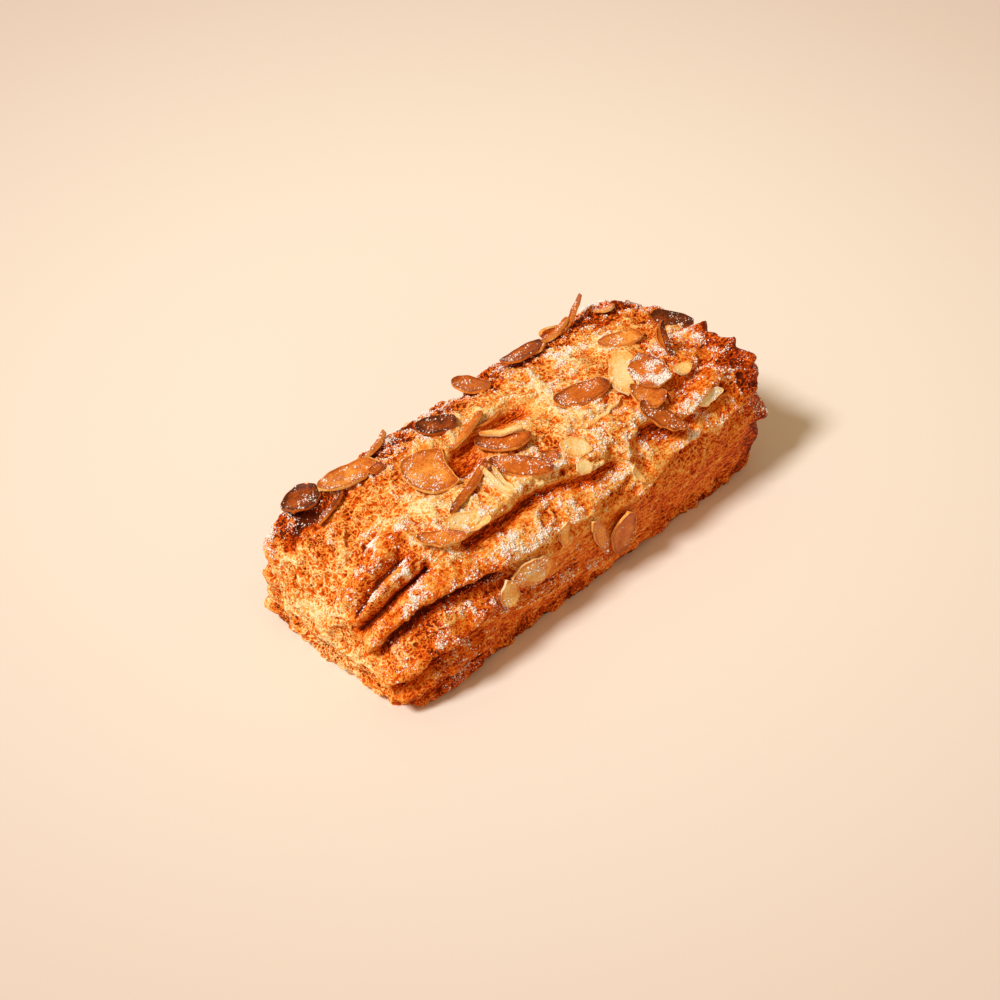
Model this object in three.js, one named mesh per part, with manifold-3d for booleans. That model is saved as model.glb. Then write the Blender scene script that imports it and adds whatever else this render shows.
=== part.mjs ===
// Almond eclair: one loaf of piped choux with a ridged crust and toasted almond flakes fused to it.
// Millimetres, +Z up. The loaf lies along X, rests on z = 0 and turns its right side to -Y.
import * as THREE from "three";
import { mergeVertices } from "three/addons/utils/BufferGeometryUtils.js";
import Module from "manifold-3d";

const { clamp, degToRad, lerp } = THREE.MathUtils;

// The bare loaf
const LENGTH = 138;
const WIDTH = 54;
const HEIGHT = 42;
const SIDE_BULGE = 2;
const HALF_LENGTH = LENGTH / 2;

// How square the section is at each top corner, from 2 for an ellipse to 10 for nearly a box
const SECTION_SQUARENESS = { nearRight: 2.3, nearLeft: 4.4, farRight: 5, farLeft: 4.2 };

// How squarely each end meets the right side, the crown and the left side
const NEAR_END_SQUARENESS = { right: 9, crown: 3.6, left: 14 };
const FAR_END_SQUARENESS = { right: 11, crown: 7, left: 5 };

// The near left corner stands clear of the plate: its underside rises from a line across the foot
const HEEL = { from: new THREE.Vector2(-71, 13), to: new THREE.Vector2(-54, 30), tilt: 26 };

// Segments of the faceted crust along the loaf, across it and up it, crowded towards the finer folds of the
// right side. The lowest of them is a skirt below the plate that is trimmed flat.
const CRUST_SEGMENTS = { along: 38, across: 23, up: 15 };
const RIGHT_CROWDING = degToRad(16);
const SKIRT = 4;

// A place on the crust is a station along X in millimetres and a girth angle in degrees: 0 at the crown,
// -90 at the right foot, 90 at the left foot. Stations past the rim run down an end face to its foot.
const END_DROP = 40;
const FOLD_STEP = 1.5;
const SMALL = 1e-6;

// Ridges (high above 0) and furrows (high below 0) that follow the piping and the tears of the crust
const FOLDS = [
  // Ridges and deep furrows that roll over the near end
  { path: [[-56, -16], [-69, -17], [-80, -18]], wide: 3.2, high: 2.4 },
  { path: [[-59, -22], [-70, -23], [-82, -26]], wide: 1.3, high: -3.6 },
  { path: [[-57, -30], [-69, -31], [-82, -32]], wide: 2.2, high: 2 },
  { path: [[-52, -35], [-65, -36], [-74, -37], [-85, -36]], wide: 1.3, high: -3.8 },
  { path: [[-33, -51], [-50, -47], [-62, -46], [-70, -47], [-79, -50]], wide: 3, high: 2.6 },
  { path: [[-33, -54], [-48, -51], [-60, -50], [-70, -51], [-79, -54]], wide: 1.4, high: -3.4 },
  { path: [[-40, -63], [-52, -65], [-62, -66], [-70, -69], [-77, -70]], wide: 2.4, high: 2.9 },
  { path: [[-44, -68], [-52, -69], [-62, -70], [-70, -73], [-77, -74]], wide: 1.3, high: -3.2 },
  { path: [[-40, -77], [-54, -78], [-64, -79], [-71, -82]], wide: 2, high: 2.6 },
  { path: [[-40, -81], [-54, -82], [-64, -83], [-71, -86]], wide: 1.2, high: -2.4 },
  { path: [[-44, -86], [-56, -88], [-69, -89]], wide: 2.2, high: 2.2 },
  { path: [[-60, 31], [-66, 34], [-69, 37], [-77, 38]], wide: 1.7, high: -2.8 },
  { path: [[-62, 42], [-69, 45], [-77, 47]], wide: 2.4, high: 1.8 },
  { path: [[-60, 22], [-66, 26], [-71, 28]], wide: 1.3, high: -1.2 },
  { path: [[-64, 16], [-69, 13], [-74, 5]], wide: 1.4, high: 1.2 },
  // The wavy lip along the right of the crown, and the trough under it
  { path: [[-44, -33], [-28, -34], [-12, -32], [-4, -34], [2, -38], [9, -40]], wide: 2.5, high: 1.9 },
  { path: [[-38, -37], [-28, -38], [-12, -38], [-2, -42], [4, -45], [11, -46]], wide: 2.4, high: -3.2 },
  // The shelf below the trough and the foot of the right wall
  { path: [[-30, -52], [-18, -53], [-8, -54], [2, -54], [13, -51]], wide: 3, high: 1.5 },
  { path: [[-30, -62], [-10, -64], [10, -63]], wide: 4, high: -1 },
  { path: [[-36, -66], [-20, -69], [-6, -73], [7, -78], [26, -82], [44, -85]], wide: 1.6, high: -1.5 },
  { path: [[-34, -71], [-20, -74], [-6, -78], [8, -83], [27, -87]], wide: 2.4, high: 1.4 },
  // The torn trough along the crown and its left rim
  { path: [[-24, 5], [-16, 11], [-6, 13], [4, 11]], wide: 3.3, high: -3.4 },
  { path: [[-23, 0], [-19, 2]], wide: 3.4, high: -1.8 },
  { path: [[-24, 19], [-12, 20], [2, 18]], wide: 2.6, high: 0.9 },
  // Ridges and furrows of the far right corner
  { path: [[43, -30], [50, -29], [57, -28]], wide: 2, high: 1.1 },
  { path: [[42, -36], [47, -34], [55, -32]], wide: 1.8, high: -1.9 },
  { path: [[38, -45], [44, -44], [54, -42]], wide: 2.4, high: 1.9 },
  { path: [[37, -49], [45, -48], [55, -47]], wide: 1.6, high: -2.2 },
  { path: [[38, -54], [50, -55], [62, -57]], wide: 3.6, high: 1.3 },
  { path: [[17, -60], [22, -57], [28, -55], [34, -53]], wide: 2, high: 2 },
  { path: [[25, -41], [29, -44], [32, -46]], wide: 3.6, high: -3 },
  { path: [[10, -22], [19, -26], [25, -28]], wide: 1.8, high: -1.4 },
  // Humps along the left edge and teeth round the far end
  { path: [[-34, 43], [-26, 43], [-17, 44]], wide: 2.6, high: 1.6 },
  { path: [[-11, 45], [-5, 45]], wide: 2.6, high: 1.8 },
  { path: [[10, 45], [16, 45]], wide: 2.2, high: 2 },
  { path: [[52, 41], [58, 36]], wide: 3, high: 1.8 },
  { path: [[67, 16], [69, 2]], wide: 3, high: 1.8 },
  { path: [[69, -16]], wide: 2.8, high: 3.6 },
  { path: [[68, -22], [70, -32]], wide: 3.2, high: 2.6 },
  { path: [[69, -36], [70, -42]], wide: 3, high: 3 },
  { path: [[70, -48]], wide: 2.6, high: 2 },
  { path: [[70, -64]], wide: 2.8, high: 3.4 },
  { path: [[70, -76]], wide: 2.4, high: 0.6 },
  // Lumps of crumb on the near end face
  { path: [[-72, 53]], wide: 2, high: 0.8 },
  { path: [[-75, 63]], wide: 1.7, high: 1.9 },
  { path: [[-75, 79]], wide: 2.4, high: 2.4 },
  { path: [[-92, 73]], wide: 2, high: 2 },
  { path: [[-103, 66]], wide: 1.8, high: 1.5 },
  { path: [[-101, -64]], wide: 1.8, high: 1.5 },
  { path: [[-91, -84]], wide: 1.8, high: 1.8 },
  { path: [[-84, -86]], wide: 1.6, high: 1.4 },
  { path: [[-74, -80]], wide: 2.6, high: 1.6 },
  { path: [[-88, 40]], wide: 3.4, high: 1.5 },
  { path: [[-92, -10]], wide: 4, high: 1.4 },
  { path: [[-84, -56]], wide: 3, high: 1.2 },
];

// The left wall and the far end carry the same piping: even ridges, each with its own slow wave
const LEFT_RIDGES = { girths: [54, 66, 78], reach: 62, step: 8, wave: 2.5, wide: 2.8, high: 1.5 };
const FAR_FURROWS = { girths: [-54, -27, -8, 12, 32, 54], from: 60, to: 82, wide: 2, high: -1.1 };

// Crags of the crust: the size of the lumps and their height
const CRAGS = [
  { size: 11, high: 0.8 },
  { size: 5.5, high: 0.6 },
];

// Almond flakes. turn swings the tip from +X towards +Y, roll lifts the left edge, pitch lifts the tip,
// lift raises the middle off the crust, cut is where a broken tip ends (1 is whole), and skew straightens the
// right edge (below 0 the left one).
const FLAKE_DEFAULTS = {
  turn: 0, roll: 0, pitch: 0, lift: 0.5, bend: 0.8, cut: 1, skew: 0, point: 2, thick: 1.2,
};

// Every flake's blunt tip and thin rim as shares of its width and thickness, and how much of its bend is
// across it
const FLAKE_TIP = 0.08;
const FLAKE_RIM = 0.65;
const FLAKE_CUP = 0.4;
const FLAKE_SEGMENTS = [5, 2, 1];
const FLAKES = [
  // Along the left edge, from the near end
  { at: [-60, 41], long: 11.5, wide: 10, turn: 28, roll: 20, lift: 1.2, bend: 1.2 },
  { at: [-46.5, 34.5], long: 19, wide: 9, turn: 1, roll: 8, pitch: -8, lift: 1, point: 1.7 },
  { at: [-40, 27], long: 4.4, wide: 3.2, turn: 4 },
  { at: [-58, 29], long: 12, wide: 4.5, turn: 11, roll: -36, pitch: 4, lift: 1, point: 1.7 },
  { at: [-31, 41.5], long: 11, wide: 2.4, turn: 10, pitch: 17, lift: 1, thick: 1.5 },
  { at: [-17.5, 27.5], long: 11.5, wide: 8, turn: -31, roll: 4, lift: 0.7, point: 1.7 },
  { at: [3, 40], long: 11.5, wide: 8, turn: 105, pitch: 27, lift: 1.2 },
  { at: [20.5, 36.5], long: 13.5, wide: 7.5, turn: -9, roll: 6, lift: 1.4, point: 1.8 },
  { at: [24, 34], long: 6.5, wide: 3.6, turn: -14, lift: 1 },
  { at: [34, 37], long: 11, wide: 2.6, turn: -4, pitch: 14, lift: 1.2, thick: 1.7 },
  { at: [41, 37], long: 14, wide: 2.2, turn: 6, pitch: 30, lift: 2.5, point: 1.2 },
  { at: [53, 35.5], long: 6.5, wide: 5, turn: -21 },
  // Over the crown
  { at: [-30.5, 5.5], long: 16.4, wide: 16, turn: -22, pitch: -4, lift: 1.2, cut: 0.65 },
  { at: [-14, 14], long: 17, wide: 3, turn: 11, roll: -30, pitch: 5, lift: 1.6, point: 1.6 },
  { at: [-6, 15], long: 12, wide: 2.4, turn: 1, roll: -30, lift: 1.4, point: 1.6 },
  { at: [-28.5, -19], long: 21, wide: 2.8, turn: 19, roll: -36, lift: 0.8, thick: 1.4 },
  { at: [-9.5, -6.5], long: 15.5, wide: 7.5, turn: -44, roll: -12, pitch: 8, bend: 1.6, point: 1.7 },
  { at: [-7.5, -0.5], long: 12, wide: 2.2, turn: -44, pitch: 8, lift: 1.3, point: 1.6 },
  { at: [-12.5, -25], long: 17.5, wide: 6.5, turn: -49, pitch: 6, lift: 0.6, point: 1.6 },
  { at: [-22, -25], long: 12.5, wide: 1.9, turn: -96, pitch: 10, lift: 0.3 },
  { at: [-20, -26], long: 10, wide: 1.4, turn: -93, lift: 0.4 },
  { at: [-36, -31], long: 12.5, wide: 5.2, turn: -29, lift: -0.1 },
  { at: [-45, -30], long: 13.5, wide: 4.8, turn: -33, roll: -16, lift: 0.8, point: 1.5 },
  { at: [-4.5, -29], long: 4.5, wide: 4, turn: -20 },
  { at: [3, -32], long: 9, wide: 6, turn: -42, lift: 0.8, bend: 0.4, point: 4 },
  { at: [1.5, -40], long: 5.4, wide: 4.2, turn: -10, lift: 1, bend: 0.4, point: 3 },
  { at: [18.5, -9.5], long: 17, wide: 7.6, turn: -15, roll: 4, lift: 0.8, point: 1.7 },
  { at: [17, -25], long: 18, wide: 2.4, turn: 1, pitch: 4, lift: 0.2, point: 1.4 },
  { at: [14, -14], long: 8, wide: 1.8, turn: -58, lift: 0.2 },
  { at: [33, -14], long: 18, wide: 8, turn: 49, lift: 0.6 },
  { at: [37.5, -23.5], long: 14, wide: 10.6, turn: 65, roll: -6, lift: 1.3, bend: 1.4, point: 5 },
  { at: [30.5, -33], long: 10.5, wide: 6.5, turn: -44, lift: 1.6, skew: -0.7 },
  { at: [48, -17], long: 12, wide: 2.2, turn: 90, pitch: 60, lift: 4.4, thick: 1.4 },
  { at: [50, -11], long: 6.5, wide: 2.2, turn: 80, pitch: 35, lift: 1.6, thick: 1.4 },
  { at: [43, 8], long: 13.5, wide: 6.5, turn: -17, lift: -0.1 },
  { at: [30.5, -41.5], long: 16, wide: 5.8, turn: -54, roll: -14, lift: 1, point: 1.7 },
  { at: [47.5, -45.5], long: 9.5, wide: 4 },
  { at: [46, -31], long: 5.5, wide: 3.4, turn: -6 },
  { at: [65, 3], long: 12.5, wide: 6.5, turn: -70, roll: 24, pitch: 10, lift: 0.4 },
  // Down the right wall
  { at: [-11, -56], long: 7.5, wide: 4, turn: 69, lift: 0.6 },
  { at: [1, -65], long: 15, wide: 4.6, turn: -72, lift: 1, skew: 0.5, point: 1.6 },
  { at: [9.5, -71], long: 14, wide: 9.4, turn: -97, lift: 0.8, point: 1.7 },
  { at: [-23.5, -60.5], long: 15.5, wide: 7.5, turn: -16, lift: 0.9, bend: 0.4, point: 3 },
  { at: [-22.5, -64], long: 8, wide: 5, turn: 19, lift: 1.2, bend: 0.4 },
  { at: [-32, -62.5], long: 9, wide: 6.6, turn: -87, lift: 0.9, bend: 0.4 },
  { at: [16, -53], long: 6.2, wide: 2, turn: -70, lift: 0.4 },
];

// Flakes of the left wall, spread evenly with a little seeded scatter
const LEFT_FLAKES = {
  seed: 7,
  stations: [-45, -15, 15, 45],
  girths: [56, 70],
  stray: { station: 7, girth: 5 },
  long: [9, 16],
  wide: [4, 8.5],
  lift: 0.4,
};

const COLOURS = { crust: 0xd98b3a };

// A repeatable draw from 0 to 1
function seededDraw(seed) {
  let state = seed;
  return () => {
    state = (state * 16807) % 2147483647;
    return state / 2147483647;
  };
}

// A point of the bare loaf: along runs -1 to 1 between the ends, girth is in radians, and ring is 1 on the
// sides and falls to 0 in the middle of each end's foot.
function loafPoint(along, ring, girth) {
  const edge = Math.max(Math.abs(Math.sin(girth)), Math.cos(girth));
  const across = Math.sin(girth) / edge;
  const up = Math.max(0, Math.cos(girth) / edge);
  const isRight = girth < 0;
  const section = SECTION_SQUARENESS;
  const squareness = isRight
    ? lerp(section.nearRight, section.farRight, (along + 1) / 2)
    : lerp(section.nearLeft, section.farLeft, (along + 1) / 2);
  const end = along < 0 ? NEAR_END_SQUARENESS : FAR_END_SQUARENESS;
  const endSquareness = lerp(end.crown, isRight ? end.right : end.left, Math.sin(girth) ** 2);
  const shrink = (Math.abs(along) ** endSquareness + ring ** endSquareness) ** (1 / endSquareness);
  const outline = (Math.abs(across) ** squareness + up ** squareness) ** (1 / squareness);
  const rise = ((up / outline) * ring) / shrink;
  const bulge = SIDE_BULGE * 4 * rise * (1 - rise);
  return new THREE.Vector3(
    (along / shrink) * (HALF_LENGTH + bulge),
    (((across / outline) * ring) / shrink) * (WIDTH / 2 + bulge),
    rise * HEIGHT,
  );
}

// The point of the bare loaf at a place on the crust.
function crustPoint(station, girth) {
  const ring = 1 - Math.max(0, Math.abs(station) - HALF_LENGTH) / END_DROP;
  return loafPoint(clamp(station / HALF_LENGTH, -1, 1), ring, degToRad(girth));
}

// Points close together along a fold's path.
function foldPoints(path) {
  const points = [crustPoint(...path[0])];
  for (let i = 1; i < path.length; i++) {
    const [fromStation, fromGirth] = path[i - 1];
    const [toStation, toGirth] = path[i];
    const gap = crustPoint(fromStation, fromGirth).distanceTo(crustPoint(toStation, toGirth));
    const steps = Math.ceil(gap / FOLD_STEP);
    for (let step = 1; step <= steps; step++) {
      const share = step / steps;
      points.push(crustPoint(lerp(fromStation, toStation, share), lerp(fromGirth, toGirth, share)));
    }
  }
  return points;
}

// The ridges of the left wall and the furrows of the far end, as folds.
function evenFolds() {
  const ridges = LEFT_RIDGES.girths.map((girth, row) => {
    const path = [];
    for (let station = -LEFT_RIDGES.reach; station <= LEFT_RIDGES.reach; station += LEFT_RIDGES.step) {
      path.push([station, girth + LEFT_RIDGES.wave * Math.sin(station / LEFT_RIDGES.step / 2 + row * 2)]);
    }
    return { path, wide: LEFT_RIDGES.wide, high: LEFT_RIDGES.high };
  });
  const furrows = FAR_FURROWS.girths.map((girth) => ({
    path: [[FAR_FURROWS.from, girth], [FAR_FURROWS.to, girth]],
    wide: FAR_FURROWS.wide,
    high: FAR_FURROWS.high,
  }));
  return [...ridges, ...furrows];
}

const folds = [...FOLDS, ...evenFolds()].map((fold) => ({ ...fold, points: foldPoints(fold.path) }));

// A repeatable value from -1 to 1 at each corner of a lattice.
function latticeValue(i, j, k) {
  const wave = Math.sin(i * 127.1 + j * 311.7 + k * 74.7) * 43758.5453;
  return 2 * (wave - Math.floor(wave)) - 1;
}

// Smooth noise from -1 to 1 between the lattice values.
function smoothNoise(point) {
  const low = point.clone().floor();
  const [u, v, w] = point.clone().sub(low).toArray().map((share) => share * share * (3 - 2 * share));
  let noise = 0;
  for (const i of [0, 1]) {
    for (const j of [0, 1]) {
      for (const k of [0, 1]) {
        const weight = (i ? u : 1 - u) * (j ? v : 1 - v) * (k ? w : 1 - w);
        noise += weight * latticeValue(low.x + i, low.y + j, low.z + k);
      }
    }
  }
  return noise;
}

// The height of the crags at a point.
function cragHeight(point) {
  const heights = CRAGS.map(({ size, high }) => high * smoothNoise(point.clone().divideScalar(size)));
  return heights.reduce((total, height) => total + height);
}

// The height of the crust over the bare loaf at one of its points.
function reliefHeight(point) {
  let height = cragHeight(point);
  for (const { points, wide, high } of folds) {
    const nearest = Math.min(...points.map((other) => point.distanceToSquared(other)));
    height += high * Math.exp(-nearest / wide ** 2);
  }
  return height;
}

// The point of the bare loaf for a point of the box that it is rounded from.
function shellPoint({ x, y, z }) {
  const ring = Math.max(Math.abs(y), z, SMALL);
  const girth = Math.atan2(y, Math.max(0, z));
  return loafPoint(x, ring, girth - RIGHT_CROWDING * Math.cos(girth) ** 2);
}

// The same for the skirt, which is level underneath.
function skirtPoint({ x, y }) {
  const foot = y < 0 ? -Math.PI / 2 : Math.PI / 2;
  const point = loafPoint(x, Math.max(Math.abs(y), SMALL), foot);
  return point.multiplyScalar(Math.max(Math.abs(x), Math.abs(y))).setZ(-SKIRT);
}

// The crust: a box rounded into the loaf, then moved out and in along its normals by the relief.
function crustGeometry() {
  const { along, across, up } = CRUST_SEGMENTS;
  const tall = up / (up - 1);
  const geometry = bareBox(2, 2, tall, along, across, up).translate(0, 0, 1 - tall / 2);
  const place = geometry.getAttribute("position");
  for (let i = 0; i < place.count; i++) {
    const corner = new THREE.Vector3().fromBufferAttribute(place, i);
    place.setXYZ(i, ...(corner.z < -SMALL ? skirtPoint(corner) : shellPoint(corner)));
  }
  geometry.computeVertexNormals();
  const normal = geometry.getAttribute("normal");
  for (let i = 0; i < place.count; i++) {
    const point = new THREE.Vector3().fromBufferAttribute(place, i);
    const outward = new THREE.Vector3().fromBufferAttribute(normal, i);
    outward.z = Math.max(0, outward.z);
    place.setXYZ(i, ...point.addScaledVector(outward.normalize(), reliefHeight(point)));
  }
  geometry.deleteAttribute("normal");
  return geometry;
}

// The space below the plate, which trims the foot flat.
function belowPlate() {
  return bareBox(2 * LENGTH, 2 * WIDTH, HEIGHT).translate(0, 0, -HEIGHT / 2);
}

// The space under the heel.
function belowHeel() {
  const run = HEEL.to.clone().sub(HEEL.from);
  return bareBox(LENGTH, WIDTH, HEIGHT)
    .translate(0, WIDTH / 2, -HEIGHT / 2)
    .rotateX(degToRad(HEEL.tilt))
    .rotateZ(run.angle())
    .translate(HEEL.from.x, HEEL.from.y, 0);
}

// A box whose corners are shared, ready to be bent.
function bareBox(...sizes) {
  const box = new THREE.BoxGeometry(...sizes);
  box.deleteAttribute("normal");
  box.deleteAttribute("uv");
  return mergeVertices(box);
}

// An almond flake lying flat at the origin, its length along X.
function flakeGeometry({ long, wide, bend, cut, skew, point, thick }) {
  const geometry = bareBox(2, 2, 2, ...FLAKE_SEGMENTS);
  const place = geometry.getAttribute("position");
  for (let i = 0; i < place.count; i++) {
    const along = lerp(-1, cut, (place.getX(i) + 1) / 2);
    const across = place.getY(i);
    const outline = lerp(FLAKE_TIP, 1, Math.sqrt(1 - Math.min(1, Math.abs(along)) ** point));
    const rim = lerp(1, FLAKE_RIM, Math.abs(across));
    const curl = bend * (along ** 2 + FLAKE_CUP * across ** 2 - 0.5);
    place.setXYZ(
      i,
      (along * long) / 2,
      (((across + skew) * outline - skew) * wide) / 2,
      (place.getZ(i) * thick * rim) / 2 + curl,
    );
  }
  return geometry;
}

// The frame of the crust at a place: X along the loaf, Y towards its left and Z out of the crust.
function crustFrame([station, girth]) {
  const reach = 1;
  const along = crustPoint(station + reach, girth).sub(crustPoint(station - reach, girth)).normalize();
  const around = crustPoint(station, girth + reach).sub(crustPoint(station, girth - reach));
  const outward = along.clone().cross(around).normalize();
  const left = outward.clone().cross(along);
  const middle = crustPoint(station, girth);
  middle.addScaledVector(outward, reliefHeight(middle));
  return new THREE.Matrix4().makeBasis(along, left, outward).setPosition(middle);
}

// A flake laid on the crust.
function placedFlake(settings) {
  const flake = { ...FLAKE_DEFAULTS, ...settings };
  const pose = crustFrame(flake.at)
    .multiply(new THREE.Matrix4().makeRotationZ(degToRad(flake.turn)))
    .multiply(new THREE.Matrix4().makeTranslation(0, 0, flake.lift))
    .multiply(new THREE.Matrix4().makeRotationY(degToRad(-flake.pitch)))
    .multiply(new THREE.Matrix4().makeRotationX(degToRad(flake.roll)));
  return flakeGeometry(flake).applyMatrix4(pose);
}

// The flakes of the left wall.
function leftFlakes() {
  const { seed, stations, girths, stray, long, wide, lift } = LEFT_FLAKES;
  const draw = seededDraw(seed);
  const near = (middle, reach) => middle + lerp(-reach, reach, draw());
  return stations.flatMap((station) =>
    girths.map((girth) => ({
      at: [near(station, stray.station), near(girth, stray.girth)],
      long: lerp(...long, draw()),
      wide: lerp(...wide, draw()),
      turn: lerp(0, 180, draw()),
      lift,
    })),
  );
}

const wasm = await Module();
wasm.setup();

function toSolid(geometry) {
  return new wasm.Manifold(
    new wasm.Mesh({
      numProp: 3,
      vertProperties: geometry.getAttribute("position").array,
      triVerts: new Uint32Array(geometry.getIndex().array),
    }),
  );
}

// The largest closed shell of a solid, without loose scraps and sealed hollows.
function wholeShell(solid) {
  return solid.decompose().reduce((best, shell) => (shell.volume() > best.volume() ? shell : best));
}

function toGeometry(solid) {
  const { numProp, vertProperties, triVerts } = solid.getMesh();
  const geometry = new THREE.BufferGeometry();
  geometry.setAttribute("position", new THREE.BufferAttribute(vertProperties, numProp));
  geometry.setIndex(new THREE.BufferAttribute(triVerts, 1));
  geometry.computeVertexNormals();
  return geometry;
}

const flakes = [...FLAKES, ...leftFlakes()].map((flake) => toSolid(placedFlake(flake)));
const loaf = toSolid(crustGeometry()).subtract(toSolid(belowPlate())).subtract(toSolid(belowHeel()));
const fused = flakes.reduce((joined, flake) => joined.add(flake), loaf);

const eclair = new THREE.Mesh(
  toGeometry(wholeShell(fused)),
  new THREE.MeshStandardMaterial({ color: COLOURS.crust, roughness: 0.75, metalness: 0 }),
);
eclair.name = "eclair";

const part = new THREE.Group();
part.name = "almond_eclair";
part.add(eclair);

export default part;
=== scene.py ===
"""An almond eclair: a loaf of piped choux with a ridged crust, toasted almond flakes and powdered sugar.

The loaf lies along X, rests on z = 0 and turns its right side to -Y. Sizes are in millimetres until a mesh is
made, which is in metres like the frame. The view, the light and the floor are in metres too.
"""

import math
from itertools import product
from typing import NamedTuple

import bmesh
import bpy
import numpy as np
from mathutils import Color, Matrix, Vector


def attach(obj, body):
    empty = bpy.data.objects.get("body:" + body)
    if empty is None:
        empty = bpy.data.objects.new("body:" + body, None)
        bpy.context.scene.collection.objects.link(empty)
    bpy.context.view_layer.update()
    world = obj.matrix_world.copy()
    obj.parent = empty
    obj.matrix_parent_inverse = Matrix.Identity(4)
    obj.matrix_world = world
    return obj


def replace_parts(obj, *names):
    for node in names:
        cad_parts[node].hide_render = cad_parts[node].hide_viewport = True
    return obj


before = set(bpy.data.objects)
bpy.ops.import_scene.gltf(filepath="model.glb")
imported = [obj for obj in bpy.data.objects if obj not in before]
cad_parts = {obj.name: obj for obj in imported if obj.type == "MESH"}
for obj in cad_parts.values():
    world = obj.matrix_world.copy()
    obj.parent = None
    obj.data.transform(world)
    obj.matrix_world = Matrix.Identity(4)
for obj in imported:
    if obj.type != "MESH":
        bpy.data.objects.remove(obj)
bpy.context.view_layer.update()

MM = 0.001

# Lengths under this count as none
SMALL = 1e-6

# The bare loaf
LENGTH = 138
WIDTH = 54
HEIGHT = 42
SIDE_BULGE = 2
HALF_LENGTH = LENGTH / 2


class Corners(NamedTuple):
    """How square a shape is, from 2 for an ellipse to 14 for nearly a box. Only the ends have a crown."""

    right: float
    left: float
    crown: float = 0


NEAR_SECTION = Corners(right=2.3, left=4.4)
FAR_SECTION = Corners(right=5, left=4.2)
NEAR_END = Corners(right=9, left=14, crown=3.6)
FAR_END = Corners(right=11, left=5, crown=7)

# The near left corner stands clear of the floor: its underside rises from a line across the foot
HEEL_FROM = np.array([-71, 13])
HEEL_TO = np.array([-54, 30])
HEEL_TILT = math.radians(26)

# Segments of the crust along the loaf, across it and up it, and the rings that close its underside
CRUST_SEGMENTS = (280, 110, 80)
UNDERSIDE_RINGS = (0.96, 0.9, 0.8, 0.6)

# The sides of a box are welded where their vertices are closer than this
WELD = 1e-4

# A place on the crust is a station along X and a girth angle in degrees: 0 at the crown, -90 at the right
# foot and 90 at the left foot. Stations past the rim run down an end face to its foot.
END_DROP = 40

# The gap between the spots that stand for a path of places
FOLD_STEP = 1

# Ridges lean over the furrows on their right: how much of a fold's width moves to its gentle side
FOLD_LEAN = 0.7

# Past this many widths a fold no longer shows
FOLD_MARGIN = 3.4


class Fold(NamedTuple):
    """A ridge (high above 0) or a furrow (high below 0) along a path of places, the sugar that lies on it and
    how much it is browned."""

    path: list
    wide: float
    high: float
    sugar: float = 0
    brown: float = 0


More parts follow.
